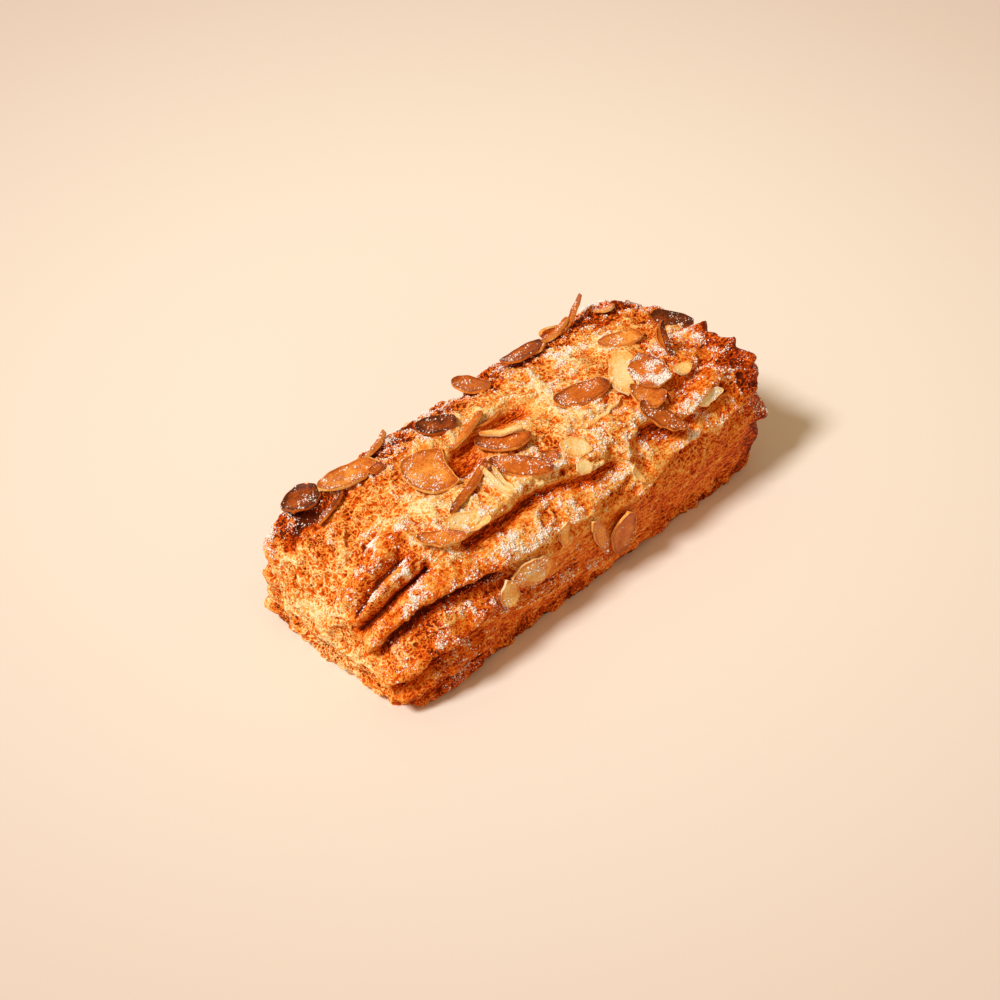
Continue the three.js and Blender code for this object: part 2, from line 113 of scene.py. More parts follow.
FOLDS = [
    # Ridges and deep furrows that roll over the near end; the brown given to the furrows is partly painted
    # shade
    Fold([(-56, -16), (-69, -17), (-80, -18)], 3.2, 2.4, 0.6, 0.24),
    Fold([(-59, -22), (-70, -23), (-82, -26)], 1.3, -3.6, 0, 0.16),
    Fold([(-57, -30), (-69, -31), (-82, -32)], 2.2, 2, 0.5, 0.2),
    Fold([(-52, -35), (-65, -36), (-74, -37), (-85, -36)], 1.3, -3.8, 0, 0.16),
    Fold([(-33, -51), (-50, -47), (-62, -46), (-70, -47), (-79, -50)], 3, 2.6, 1, 0.12),
    Fold([(-33, -54), (-48, -51), (-60, -50), (-70, -51), (-79, -54)], 1.4, -3.4, 0, 0.12),
    Fold([(-40, -63), (-52, -65), (-62, -66), (-70, -69), (-77, -70)], 2.4, 2.9, 0.4, 0.08),
    Fold([(-44, -68), (-52, -69), (-62, -70), (-70, -73), (-77, -74)], 1.3, -3.2, 0, 0.08),
    Fold([(-40, -77), (-54, -78), (-64, -79), (-71, -82)], 2, 2.6, 0.1, 0.08),
    Fold([(-40, -81), (-54, -82), (-64, -83), (-71, -86)], 1.2, -2.4, 0, 0.08),
    Fold([(-44, -86), (-56, -88), (-69, -89)], 2.2, 2.2, 0, 0.2),
    Fold([(-60, 31), (-66, 34), (-69, 37), (-77, 38)], 1.7, -2.8),
    Fold([(-62, 42), (-69, 45), (-77, 47)], 2.4, 1.8, 0.7, 0.2),
    Fold([(-60, 22), (-66, 26), (-71, 28)], 1.3, -1.2),
    Fold([(-64, 16), (-69, 13), (-74, 5)], 1.4, 1.2, 0.5, -0.1),
    # The wavy lip along the right of the crown, and the trough under it
    Fold([(-44, -33), (-28, -34), (-12, -32), (-4, -34), (2, -38), (9, -40)], 2.5, 1.9, 1.1),
    Fold([(-38, -37), (-28, -38), (-12, -38), (-2, -42), (4, -45), (11, -46)], 2.4, -3.2),
    # The shelf below the trough and the foot of the right wall
    Fold([(-30, -52), (-18, -53), (-8, -54), (2, -54), (13, -51)], 3, 1.5, 0.5),
    Fold([(-30, -62), (-10, -64), (10, -63)], 4, -1),
    Fold([(-36, -66), (-20, -69), (-6, -73), (7, -78), (26, -82), (44, -85)], 1.6, -1.5),
    Fold([(-34, -71), (-20, -74), (-6, -78), (8, -83), (27, -87)], 2.4, 1.4),
    # The torn trough along the crown and its left rim
    Fold([(-24, 5), (-16, 11), (-6, 13), (4, 11)], 3.3, -3.4),
    Fold([(-23, 0), (-19, 2)], 3.4, -1.8),
    Fold([(-24, 19), (-12, 20), (2, 18)], 2.6, 0.9, 0.2),
    # Ridges and furrows of the far right corner
    Fold([(43, -30), (50, -29), (57, -28)], 2, 1.1, 0.5),
    Fold([(42, -36), (47, -34), (55, -32)], 1.8, -1.9),
    Fold([(38, -45), (44, -44), (54, -42)], 2.4, 1.9, 1.1),
    Fold([(37, -49), (45, -48), (55, -47)], 1.6, -2.2),
    Fold([(38, -54), (50, -55), (62, -57)], 3.6, 1.3, 0.2),
    Fold([(17, -60), (22, -57), (28, -55), (34, -53)], 2, 2, 1.2),
    Fold([(25, -41), (29, -44), (32, -46)], 3.6, -3),
    Fold([(10, -22), (19, -26), (25, -28)], 1.8, -1.4),
    # Humps along the left edge and teeth round the far end
    Fold([(-34, 43), (-26, 43), (-17, 44)], 2.6, 1.6, 0.6),
    Fold([(-11, 45), (-5, 45)], 2.6, 1.8, 0.5),
    Fold([(10, 45), (16, 45)], 2.2, 2, 0.5),
    Fold([(52, 41), (58, 36)], 3, 1.8, 0.4),
    Fold([(67, 16), (69, 2)], 3, 1.8, 0.2),
    Fold([(69, -16)], 2.8, 3.6),
    Fold([(68, -22), (70, -32)], 3.2, 2.6),
    Fold([(69, -36), (70, -42)], 3, 3),
    Fold([(70, -48)], 2.6, 2),
    Fold([(70, -64)], 2.8, 3.4),
    Fold([(70, -76)], 2.4, 0.6),
    # Lumps of crumb on the near end face
    Fold([(-72, 53)], 2, 0.8),
    Fold([(-75, 63)], 1.7, 1.9),
    Fold([(-75, 79)], 2.4, 2.4),
    Fold([(-92, 73)], 2, 2),
    Fold([(-103, 66)], 1.8, 1.5),
    Fold([(-101, -64)], 1.8, 1.5),
    Fold([(-91, -84)], 1.8, 1.8),
    Fold([(-84, -86)], 1.6, 1.4),
    Fold([(-74, -80)], 2.6, 1.6),
    Fold([(-88, 40)], 3.4, 1.5),
    Fold([(-92, -10)], 4, 1.4),
    Fold([(-84, -56)], 3, 1.2),
]

# The left wall carries even ridges. Each sways by some degrees of girth, a radian of its wave in so many
# millimetres, and starts at its own phase. The face of the far end carries even furrows.
LEFT_RIDGE_GIRTHS = (54, 66, 78)
LEFT_RIDGE_REACH = 62
LEFT_RIDGE_STEP = 8
LEFT_RIDGE_WAVE = 2.5
LEFT_RIDGE_RADIAN = 16
LEFT_RIDGE_PHASE = 2
LEFT_RIDGE_FORM = {"wide": 2.8, "high": 1.5, "sugar": 0.3}
FAR_FURROW_GIRTHS = (-54, -27, -8, 12, 32, 54)
FAR_FURROW_SPAN = (60, 82)
FAR_FURROW_FORM = {"wide": 2, "high": -1.1}

# A repeatable value for each corner of a lattice comes from these, and each noise reads its own shift of it
LATTICE_TURNS = np.array([127.1, 311.7, 74.7])
LATTICE_SCALE = 43758.5453
VECTOR_SHIFTS = (1, 2, 3)
PIT_SHIFTS = (4, 5, 6)
DRIFT_SHIFT = 7
WAVE_SHIFT = 8
CLUMP_SHIFT = 9

# Crags of the crust: the size of the lumps and their height
CRAGS = [(11, 0.8), (5.5, 0.6)]

# The folds wander over lumps of a size, by as much as this
WANDER = [(5, 0.5), (2, 0.14)]

# The crumb of the crust: curling strands by size and height, how wide they are in their noise and the height
# that counts as level
STRANDS = [(6.5, 0.7), (3.4, 0.6), (1.8, 0.4)]
STRAND_WIDTH = 0.24
STRAND_MIDDLE = 0.5

# Pits by spacing, share of the spacing and depth, and how far they stray from even rows
PITS = [(4, 0.36, 0.8), (2.4, 0.32, 0.5)]
PIT_STRAY = 0.45

# The heights over which a ridge becomes a crest, and the depths over which a furrow becomes smooth and hollow
CREST_HEIGHTS = (0.2, 1.8)
SMOOTH_DEPTHS = (0.3, 2)
HOLLOW_DEPTHS = (1, 3.4)

# How much smoother the crumb is in furrows and on crests, and the least of it that is left
FURROW_SMOOTHING = 0.85
CREST_SMOOTHING = 0.4
LEAST_ROUGH = 0.1


class Patch(NamedTuple):
    """A change of the crust along a path of places: more above 0, less below."""

    path: list
    wide: float
    amount: float


# Where the crumb is rougher or smoother than on the crown
ROUGHNESS = [
    Patch([(-90, 70), (-92, 0), (-88, -60)], 18, 0.2),
    Patch([(-104, 70), (-106, 0), (-104, -70)], 5, 0.4),
    Patch([(-40, -74), (0, -72), (30, -70), (62, -72)], 9, -0.65),
    Patch([(-24, -62), (10, -62)], 4, -0.4),
    Patch([(-20, 6), (0, 10)], 4, -0.4),
    Patch([(40, -36), (60, -34)], 8, -0.3),
    Patch([(-58, 72), (0, 70), (62, 72)], 10, -0.5),
    Patch([(88, 60), (88, 0), (86, -60)], 14, -0.4),
]

# Where the crust is browner or paler than elsewhere
PATCHES = [
    # The left edge, the far end and the near left corner are toasted
    Patch([(-66, 38), (-40, 40), (0, 41), (40, 40), (58, 37)], 6, 0.44),
    Patch([(69, 40), (70, 0), (69, -45), (69, -80)], 6, 0.28),
    Patch([(-62, 36), (-68, 38), (-72, 40)], 4, 0.2),
    # The right wall is darker towards its foot, near the right corner and at the far corner
    Patch([(-66, -80), (-34, -76), (0, -74), (30, -74), (62, -74)], 11, 0.24),
    Patch([(-64, -58), (-48, -60), (-34, -60)], 9, 0.12),
    Patch([(46, -34), (64, -36)], 13, 0.2),
    Patch([(-40, -88), (0, -87), (60, -87)], 4, 0.2),
    # So are the left wall and the face of the far end
    Patch([(-60, 78), (0, 76), (62, 76)], 11, 0.24),
    Patch([(96, 60), (96, 0), (94, -60)], 14, 0.24),
    # The floors of the torn trough and of the trough under the lip are lighter than other furrows
    Patch([(-22, 4), (-14, 11), (-4, 13)], 4, -0.17),
    Patch([(-6, -40), (3, -44), (11, -46)], 4, -0.13),
    # The near end face and parts of the crown are pale crumb
    Patch([(-86, 60), (-88, 0), (-86, -50)], 12, -0.09),
    Patch([(-92, 36), (-93, 24)], 3.4, -0.55),
    Patch([(-48, 4), (-40, -8)], 7, -0.16),
    Patch([(-36, -24), (-14, -26)], 5, -0.14),
    Patch([(-5, 24), (10, 20), (40, 16)], 9, -0.12),
    Patch([(8, 2), (14, -16), (26, -20)], 5, -0.14),
]

# How brown the crust is where nothing changes it and underneath, how much its hollows darken (partly
# browning, partly painted shade), how much a painted highlight pales its crests, and how much the high crumb
# pales while painted shade darkens its pits
BROWNING = 0.43
UNDERSIDE_BROWNING = 0.75
HOLLOW_BROWNING_AND_SHADE = 0.5
CREST_PAINTED_HIGHLIGHT = 0.04
CRUMB_PALING_AND_PIT_SHADE = 0.34

# Powdered sugar: how thickly it lies on level crust and at most, and the noises that part its drifts, by size
# and the values between which a drift thickens
SUGAR_LEVEL = 0.4
MOST_SUGAR = 1.2
SUGAR_DRIFTS = [(7, -0.7, 0.4), (2.4, -0.6, 0.4), (1.1, -0.6, 0.4)]

# It thickens over these stations at the near end's rim, and over these heights of the crumb
SUGAR_STATIONS = (-HALF_LENGTH - 2, -HALF_LENGTH + 8)
SUGAR_CRUMB = (-0.5, 0.4)

# How far a surface faces up where sugar starts to lie and where it lies fully: on crust, folds and for grains
CRUST_FACING = (0.1, 0.8)
FOLD_FACING = (-0.1, 0.5)
GRAIN_FACING = (-0.2, 0.3)

# Where more or less of it lies
SUGARING = [
    Patch([(26, 16), (44, 4), (60, -8)], 14, 0.3),
    Patch([(-62, 24), (-50, 30)], 8, 0.3),
    Patch([(-64, 8), (-62, -4)], 6, 0.2),
    Patch([(-44, -4), (-34, -18)], 9, -0.24),
    Patch([(-20, 8), (0, 10)], 6, -0.3),
    Patch([(67, 20), (67, -50)], 6, -0.34),
]

# On the flakes it lies inside the rim, in clumps that a noise of a size parts, and this much thicker
FLAKE_CLUMP_SIZE = 2.6
FLAKE_CLUMPS = (-0.2, 0.4)
FLAKE_SUGAR_INWARD = (0, 0.2)
FLAKE_SUGARING = 1.4

# Loose grains and finer dust: how many and how large, how uneven, and the share of a grain that stands clear
GRAIN_SEED = 11
GRAINS = 8000
GRAIN_SIZES = (0.12, 0.32)
DUST_SEED = 12
DUST_GRAINS = 24500
DUST_SIZES = (0.09, 0.19)
GRAIN_STRETCH = (0.7, 1.3)
GRAIN_CLEAR = 0.4


class Flake(NamedTuple):
    """An almond flake: where it lies, how large it is, how brown (1 is darkest) and how sugared.

    turn swings the tip from +X towards +Y, roll lifts the left edge, pitch lifts the tip, lift raises the
    middle off the crust and bend curls the tips up. cut is where a broken tip ends (1 is whole), bite hollows
    the broken edge, skew straightens the right edge (below 0 the left one), broken makes the outline angular,
    and point sharpens the tips below 2 and squares them above.
    """

    at: tuple
    long: float
    wide: float
    tone: float = 0.5
    sugar: float = 0.03
    turn: float = 0
    roll: float = 0
    pitch: float = 0
    lift: float = 0.5
    bend: float = 0.8
    cut: float = 1
    bite: float = 0
    skew: float = 0
    broken: float = 0
    point: float = 2
    thick: float = 1.1


FLAKES = [
    # Along the left edge, from the near end
    Flake((-60, 41), 11.5, 10, 0.85, 0.06, turn=28, roll=20, lift=1.2, bend=1.2),
    Flake((-46.5, 34.5), 19, 9, 0.48, 0.05, turn=1, roll=8, pitch=-8, lift=1, point=1.7),
    Flake((-40, 27), 4.4, 3.2, 0.75, turn=4),
    Flake((-58, 29), 12, 4.5, 0.8, turn=11, roll=-36, pitch=4, lift=1, point=1.7),
    Flake((-31, 41.5), 11, 2.4, 0.55, turn=10, pitch=17, lift=1, thick=1.5),
    Flake((-17.5, 27.5), 11.5, 8, 0.85, turn=-31, roll=4, lift=0.7, point=1.7),
    Flake((3, 40), 11.5, 8, 0.62, turn=105, pitch=27, lift=1.2),
    Flake((20.5, 36.5), 13.5, 7.5, 0.74, turn=-9, roll=6, lift=1.4, point=1.8),
    Flake((24, 34), 6.5, 3.6, 0.5, turn=-14, lift=1, broken=0.8),
    Flake((34, 37), 11, 2.6, 0.55, turn=-4, pitch=14, lift=1.2, thick=1.7),
    Flake((41, 37), 14, 2.2, 0.65, turn=6, pitch=30, lift=2.5, point=1.2),
    Flake((53, 35.5), 6.5, 5, 0.55, turn=-21),
    # Over the crown
    Flake((-30.5, 5.5), 16.4, 16, 0.47, 0.06, turn=-22, pitch=-4, lift=1.2, cut=0.65, bite=0.14),
    Flake((-14, 14), 17, 3, 0.55, turn=11, roll=-30, pitch=5, lift=1.6, point=1.6),
    Flake((-6, 15), 12, 2.4, 0.6, turn=1, roll=-30, lift=1.4, point=1.6),
    Flake((-28.5, -19), 21, 2.8, 0.7, turn=19, roll=-36, lift=0.8, thick=1.4),
    Flake((-9.5, -6.5), 15.5, 7.5, 0.62, turn=-44, roll=-12, pitch=8, bend=1.6, point=1.7),
    Flake((-7.5, -0.5), 12, 2.2, 0.2, turn=-44, pitch=8, lift=1.3, point=1.6),
    Flake((-12.5, -25), 17.5, 6.5, 0.62, 0.06, turn=-49, pitch=6, lift=0.6, point=1.6),
    Flake((-22, -25), 12.5, 1.9, 0.1, turn=-96, pitch=10, lift=0.3),
    Flake((-20, -26), 10, 1.4, 0.15, turn=-93, lift=0.4),
    Flake((-36, -31), 12.5, 5.2, 0.1, turn=-29, lift=-0.1),
    Flake((-45, -30), 13.5, 4.8, 0.5, turn=-33, roll=-16, lift=0.8, point=1.5),
    Flake((-4.5, -29), 4.5, 4, 0.65, turn=-20),
    Flake((3, -32), 9, 6, 0.12, turn=-42, lift=0.8, bend=0.4, broken=1, point=4),
    Flake((1.5, -40), 5.4, 4.2, 0.15, turn=-10, lift=1, bend=0.4, broken=1, point=3),
    Flake((18.5, -9.5), 17, 7.6, 0.6, 0.06, turn=-15, roll=4, lift=0.8, point=1.7),
    Flake((17, -25), 18, 2.4, 0.2, turn=1, pitch=4, lift=0.2, point=1.4),
    Flake((14, -14), 8, 1.8, 0.3, turn=-58, lift=0.2),
    Flake((33, -14), 18, 8, 0.12, turn=49, lift=0.6),
    Flake((37.5, -23.5), 14, 10.6, 0.6, 0.4, turn=65, roll=-6, lift=1.3, bend=1.4, broken=1, point=5),
    Flake((30.5, -33), 10.5, 6.5, 0.56, turn=-44, lift=1.6, skew=-0.7),
    Flake((48, -17), 12, 2.2, 0.8, turn=90, pitch=60, lift=4.4, thick=1.4),
    Flake((50, -11), 6.5, 2.2, 0.6, turn=80, pitch=35, lift=1.6, thick=1.4),
    Flake((43, 8), 13.5, 6.5, 0.5, turn=-17, lift=-0.1),
    Flake((30.5, -41.5), 16, 5.8, 0.66, turn=-54, roll=-14, lift=1, point=1.7),
    Flake((47.5, -45.5), 9.5, 4, 0.05, 0.12, broken=0.6),
    Flake((46, -31), 5.5, 3.4, 0.12, turn=-6, broken=0.4),
    Flake((65, 3), 12.5, 6.5, 0.92, turn=-70, roll=24, pitch=10, lift=0.4),
    # Down the right wall
    Flake((-11, -56), 7.5, 4, 0.28, turn=69, lift=0.6, broken=1),
    Flake((1, -65), 15, 4.6, 0.45, turn=-72, lift=1, skew=0.5, broken=0.6, point=1.6),
    Flake((9.5, -71), 14, 9.4, 0.55, turn=-97, lift=0.8, point=1.7),
    Flake((-23.5, -60.5), 15.5, 7.5, 0.3, 0.08, turn=-16, lift=0.9, bend=0.4, broken=1, point=3),
    Flake((-22.5, -64), 8, 5, 0.6, turn=19, lift=1.2, bend=0.4, broken=1),
    Flake((-32, -62.5), 9, 6.6, 0.25, turn=-87, lift=0.9, bend=0.4, broken=1),
    Flake((16, -53), 6.2, 2, 0.2, turn=-70, lift=0.4),
]

# Flakes of the left wall, spread evenly with a little seeded scatter
LEFT_FLAKE_SEED = 7
LEFT_FLAKE_STATIONS = (-45, -15, 15, 45)
LEFT_FLAKE_GIRTHS = (56, 70)
LEFT_FLAKE_STRAY = (7, 5)
LEFT_FLAKE_LONG = (9, 16)
LEFT_FLAKE_WIDE = (4, 8.5)
LEFT_FLAKE_TURN = (0, 180)
LEFT_FLAKE_TONE = (0.3, 0.8)
LEFT_FLAKE_LIFT = 0.4

# Each seeded draw is the last one times a step, wrapped round a range
DRAW_STEP = 16807
DRAW_RANGE = 2147483647

# Every flake's segments, blunt tip and thin rim as shares of its width and thickness, how much of its bend is
# across it, how far the bend lowers its middle, and the angle past which an edge is sharp
FLAKE_SEGMENTS = (26, 12, 2)
FLAKE_TIP = 0.08
FLAKE_RIM = 0.65
FLAKE_CUP = 0.4
FLAKE_SAG = 0.5
FLAKE_SHARP = math.radians(50)

# Where a broken flake's outline has its corners, and the unevenness of every outline and face by height and
# size, with a gap that keeps the noises of two flakes apart
FLAKE_CORNERS = np.array([-1, -0.35, 0.5, 1])
FLAKE_RAGGED = 0.42
FLAKE_RAGGED_SIZE = 2.2
FLAKE_WAVE = 0.32
FLAKE_WAVE_SIZE = 3.5
FLAKE_NOISE_GAP = 9.7

# The view: the camera looks down on the near right corner
VIEW_AZIMUTH = math.radians(-45.2)
VIEW_ELEVATION = math.radians(43.5)
VIEW_DISTANCE = 0.776
VIEW_TARGET = Vector((0.0059, 0.0136, 0))
VIEW_LENS = 100

# The soft key light, the even fill and the floor
KEY_FROM = Vector((-0.7, 0.16, 1)).normalized()
KEY_DISTANCE = 4
KEY_SIZE = 0.9
KEY_POWER = 134
KEY_TINT = (1, 0.97, 0.95)
FILL_STRENGTH = 0.45
FILL_TINT = (1, 0.72, 0.42, 1)
FLOOR_HALF = 1.5
FLOOR_SEGMENTS = 8

# The floor has a painted pool of light, brightest behind the eclair, and painted shade darkens it over these
# distances from there
FLOOR_PAINTED_LIGHT_AT = (0.041, 0.049, 0)
FLOOR_PAINTED_FALLOFF = (0.06, 0.34)


def lerp(low, high, share):
    """A value part of the way from low to high."""
    return low + (high - low) * share


def smooth_step(low, high, value):
    """0 below low, 1 above high and a soft rise between them."""
    share = np.clip((value - low) / (high - low), 0, 1)
    return share * share * (3 - 2 * share)


def colour(red, green, blue):
    """A colour given by its screen values, from 0 to 255, as linear light."""
    screen = Color((red / 255, green / 255, blue / 255))
    return (*screen.from_srgb_to_scene_linear(), 1)


def unit(vectors):
    """Vectors scaled to length 1."""
    return vectors / np.maximum(np.linalg.norm(vectors, axis=-1, keepdims=True), SMALL)


# The form of the loaf


def loaf_points(along, ring, girth):
    """Points of the bare loaf.

    along runs -1 to 1 between the ends, girth is in radians, and ring is 1 on the sides and falls to 0 in the
    middle of each end's foot.
    """
    sine, cosine = np.sin(girth), np.cos(girth)
    edge = np.maximum(np.abs(sine), cosine)
    across = sine / edge
    up = np.maximum(0, cosine / edge)
    is_right = girth < 0
    far = (along + 1) / 2
    squareness = np.where(
        is_right,
        lerp(NEAR_SECTION.right, FAR_SECTION.right, far),
        lerp(NEAR_SECTION.left, FAR_SECTION.left, far),
    )
    near_side = np.where(is_right, NEAR_END.right, NEAR_END.left)
    far_side = np.where(is_right, FAR_END.right, FAR_END.left)
    end_side = np.where(along < 0, near_side, far_side)
    end_crown = np.where(along < 0, NEAR_END.crown, FAR_END.crown)
    end = lerp(end_crown, end_side, sine**2)
    shrink = (np.abs(along) ** end + ring**end) ** (1 / end)
    outline = (np.abs(across) ** squareness + up**squareness) ** (1 / squareness)
    rise = up / outline * ring / shrink
    bulge = SIDE_BULGE * 4 * rise * (1 - rise)
    x = along / shrink * (HALF_LENGTH + bulge)
    y = across / outline * ring / shrink * (WIDTH / 2 + bulge)
    return np.stack([x, y, rise * HEIGHT], axis=-1)


def crust_points(stations, girths):
    """Points of the bare loaf at places on the crust."""
    stations = np.asarray(stations, float)
    ring = 1 - np.maximum(0, np.abs(stations) - HALF_LENGTH) / END_DROP
    return loaf_points(np.clip(stations / HALF_LENGTH, -1, 1), ring, np.radians(girths))


def path_places(path):
    """Stations and girths close together along a path of places."""
    places = [path[0]]
    for start, end in zip(path, path[1:]):
        gap = np.linalg.norm(crust_points(*end) - crust_points(*start))
        steps = math.ceil(gap / FOLD_STEP)
        places.extend(lerp(np.array(start), np.array(end), step / steps) for step in range(1, steps + 1))
    return np.array(places).T


def even_folds():
    """The ridges of the left wall and the furrows of the far end."""
    folds = []
    for row, girth in enumerate(LEFT_RIDGE_GIRTHS):
        stations = range(-LEFT_RIDGE_REACH, LEFT_RIDGE_REACH + 1, LEFT_RIDGE_STEP)
        waves = [math.sin(station / LEFT_RIDGE_RADIAN + row * LEFT_RIDGE_PHASE) for station in stations]
        path = [(station, girth + LEFT_RIDGE_WAVE * wave) for station, wave in zip(stations, waves)]
        folds.append(Fold(path, **LEFT_RIDGE_FORM))
    for girth in FAR_FURROW_GIRTHS:
        folds.append(Fold([(station, girth) for station in FAR_FURROW_SPAN], **FAR_FURROW_FORM))
    return folds


def closeness(points, path, wide, lean=0):
    """How close points are to a path of places: 1 on it, falling away over its width.

    lean makes it fall more gently on the left of the path and more steeply on its right.
    """
    stations, girths = path_places(path)
    spots = crust_points(stations, girths)
    leftward = unit(crust_points(stations, girths + 1) - crust_points(stations, girths - 1))
    margin = FOLD_MARGIN * wide
    inside = (points > spots.min(axis=0) - margin) & (points < spots.max(axis=0) + margin)
    reached = inside.all(axis=1)
    nearby = points[reached]
    nearest = np.full(len(nearby), np.inf)
    side = np.zeros(len(nearby))
    for spot, left in zip(spots, leftward):
        offset = nearby - spot
        gap = (offset**2).sum(axis=1)
        closer = gap < nearest
        nearest[closer] = gap[closer]
        side[closer] = offset[closer] @ left
    close = np.zeros(len(points))
    close[reached] = np.exp(-nearest / (wide * (1 + lean * np.tanh(side))) ** 2)
    return close


def lattice_values(corners, shift=0):
    """A repeatable value from -1 to 1 at each corner of a lattice."""
    waves = np.sin(corners @ LATTICE_TURNS + shift) * LATTICE_SCALE
    return 2 * (waves - np.floor(waves)) - 1


def smooth_noise(points, shift=0):
    """Smooth noise from -1 to 1 between the lattice values."""
    low = np.floor(points)
    shares = points - low
    shares = shares * shares * (3 - 2 * shares)
    noise = np.zeros(len(points))
    for corner in product((0, 1), repeat=3):
        weight = np.where(np.array(corner) == 1, shares, 1 - shares).prod(axis=1)
        noise += weight * lattice_values(low + corner, shift)
    return noise


def noise_vectors(points):
    """Three smooth noises at each point."""
    return np.stack([smooth_noise(points, shift) for shift in VECTOR_SHIFTS], axis=-1)


def seed_distance(points):
    """The distance to the nearest of seeds that are scattered one to each unit cell."""
    cells = np.floor(points)
    nearest = np.full(len(points), np.inf)
    for offset in product((-1, 0, 1), repeat=3):
        corners = cells + offset
        stray = np.stack([lattice_values(corners, shift) for shift in PIT_SHIFTS], axis=-1)
        seeds = corners + 0.5 + PIT_STRAY * stray
        nearest = np.minimum(nearest, np.linalg.norm(points - seeds, axis=1))
    return nearest


def crag_heights(points):
    """The height of the crags at points of the bare loaf."""
    return sum(high * smooth_noise(points / size) for size, high in CRAGS)


def strand_heights(points, size):
    """Strands that curl along the middle values of a noise: 1 along a strand and 0 between them."""
    return np.exp(-((smooth_noise(points / size, size) / STRAND_WIDTH) ** 2))


def crumb_heights(points):
    """The height of the crumb: curling strands, and pits between them."""
    strands = sum(high * (strand_heights(points, size) - STRAND_MIDDLE) for size, high in STRANDS)
    pits = sum(depth * smooth_step(share, 0, seed_distance(points / size)) for size, share, depth in PITS)
    return strands - pits


def fold_heights(points):
    """The height of the ridges, the depth of the furrows, and the sugar and browning of the folds."""
    ridge, furrow, sugar, brown = np.zeros((4, len(points)))
    for fold in FOLDS + even_folds():
        close = closeness(points, fold.path, fold.wide, math.copysign(FOLD_LEAN, fold.high))
        ridge += max(fold.high, 0) * close
        furrow += max(-fold.high, 0) * close
        sugar += fold.sugar * close
        brown += fold.brown * close
    return ridge, furrow, sugar, brown


# Meshes


def grid_box(along, across, up, rings=()):
    """A box from -1 to 1 whose sides are grids.

    Its underside is a grid too, unless rings close it: shares of its size that shrink towards its middle.
    """
    box = bmesh.new()
    level = Matrix.Translation((0, 0, 1))
    across_turn = Matrix.Rotation(math.pi / 2, 4, "X")
    along_turn = Matrix.Rotation(math.pi / 2, 4, "Y")
    half_turn = Matrix.Rotation(math.pi, 4, "X")
    sides = [
        (level, along, across),
        (across_turn @ level, along, up),
        (half_turn @ across_turn @ level, along, up),
        (along_turn @ level, up, across),
        (Matrix.Rotation(math.pi, 4, "Z") @ along_turn @ level, up, across),
    ]
    if not rings:
        sides.append((half_turn @ level, along, across))
    for place, x_segments, y_segments in sides:
        bmesh.ops.create_grid(box, x_segments=x_segments, y_segments=y_segments, size=1, matrix=place)
    bmesh.ops.remove_doubles(box, verts=box.verts, dist=WELD)
    if rings:
        close_underside(box, rings)
    bmesh.ops.recalc_face_normals(box, faces=box.faces)
    return box


def close_underside(box, rings):
    """Closes the foot of an open box with rings that shrink towards its middle."""
    rim = [edge for edge in box.edges if edge.is_boundary]
    reach = 1
    for share in rings:
        grown = bmesh.ops.extrude_edge_only(box, edges=rim)["geom"]
        ring = [item for item in grown if isinstance(item, bmesh.types.BMVert)]
        rim = [item for item in grown if isinstance(item, bmesh.types.BMEdge)]
        bmesh.ops.scale(box, vec=(share / reach, share / reach, 1), verts=ring)
        reach = share
    bmesh.ops.edgeloop_fill(box, edges=rim)


def vertex_places(shape):
    """The places of a bmesh's vertices as an array."""
    return np.array([vertex.co for vertex in shape.verts])


def move_vertices(shape, places):
    """Moves a bmesh's vertices to new places."""
    for vertex, place in zip(shape.verts, places):
        vertex.co = place
    shape.normal_update()


def outward_normals(shape):
    """A bmesh's vertex normals, turned level where they point down."""
    normals = np.array([vertex.normal for vertex in shape.verts])
    normals[:, 2] = np.maximum(normals[:, 2], 0)
    return unit(normals)


def add_piece(name, mesh, finish):
    """Puts a mesh in the scene as a piece of the eclair."""
    piece = bpy.data.objects.new(name, mesh)
    bpy.context.scene.collection.objects.link(piece)
    mesh.materials.append(finish)
    mesh.shade_smooth()
    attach(piece, "root")
    return piece


def add_attribute(mesh, name, values):
    """Stores a number for each vertex of a mesh."""
    mesh.attributes.new(name, "FLOAT", "POINT").data.foreach_set("value", values.astype(np.float32))


def joined_mesh(name, places, faces):
    """One mesh of many copies of a shape, from each copy's vertices and the faces of one copy."""
    copies, corners = places.shape[:2]
    all_faces = (faces[None] + corners * np.arange(copies)[:, None, None]).reshape(-1, faces.shape[1])
    mesh = bpy.data.meshes.new(name)
    mesh.from_pydata(places.reshape(-1, 3) * MM, [], all_faces.tolist())
    mesh.update()
    return mesh


def shape_arrays(shape):
    """A bmesh's vertices and faces as arrays, and frees it."""
    shape.verts.index_update()
    places = vertex_places(shape)
    faces = np.array([[vertex.index for vertex in face.verts] for face in shape.faces])
    shape.free()
    return places, faces


# The crust


def heel_heights(points):
    """The height of the heel's underside over the floor."""
    run = HEEL_TO - HEEL_FROM
    outward = np.array([-run[1], run[0]]) / np.linalg.norm(run)
    beyond = (points[:, :2] - HEEL_FROM) @ outward
    return np.maximum(0, beyond * math.tan(HEEL_TILT))


def patched(values, points, patches):
    """Values at points of the bare loaf, changed by patches."""
    for patch in patches:
        values = values + patch.amount * closeness(points, patch.path, patch.wide)
    return values


def bare_crust():
    """A bmesh of the bare loaf, the places of its vertices, and which of them close its underside."""
    shape = grid_box(*CRUST_SEGMENTS, UNDERSIDE_RINGS)
    box = vertex_places(shape)
    height = (box[:, 2] + 1) / 2
    ring = np.maximum(np.maximum(np.abs(box[:, 1]), height), SMALL)
    reach = np.maximum(np.abs(box[:, 0]), ring)
    bare = loaf_points(box[:, 0], ring, np.arctan2(box[:, 1], height))
    underside = (height < SMALL) & (reach < 1 - SMALL)
    bare[underside] *= reach[underside, None]
    move_vertices(shape, bare)
    return shape, bare, underside


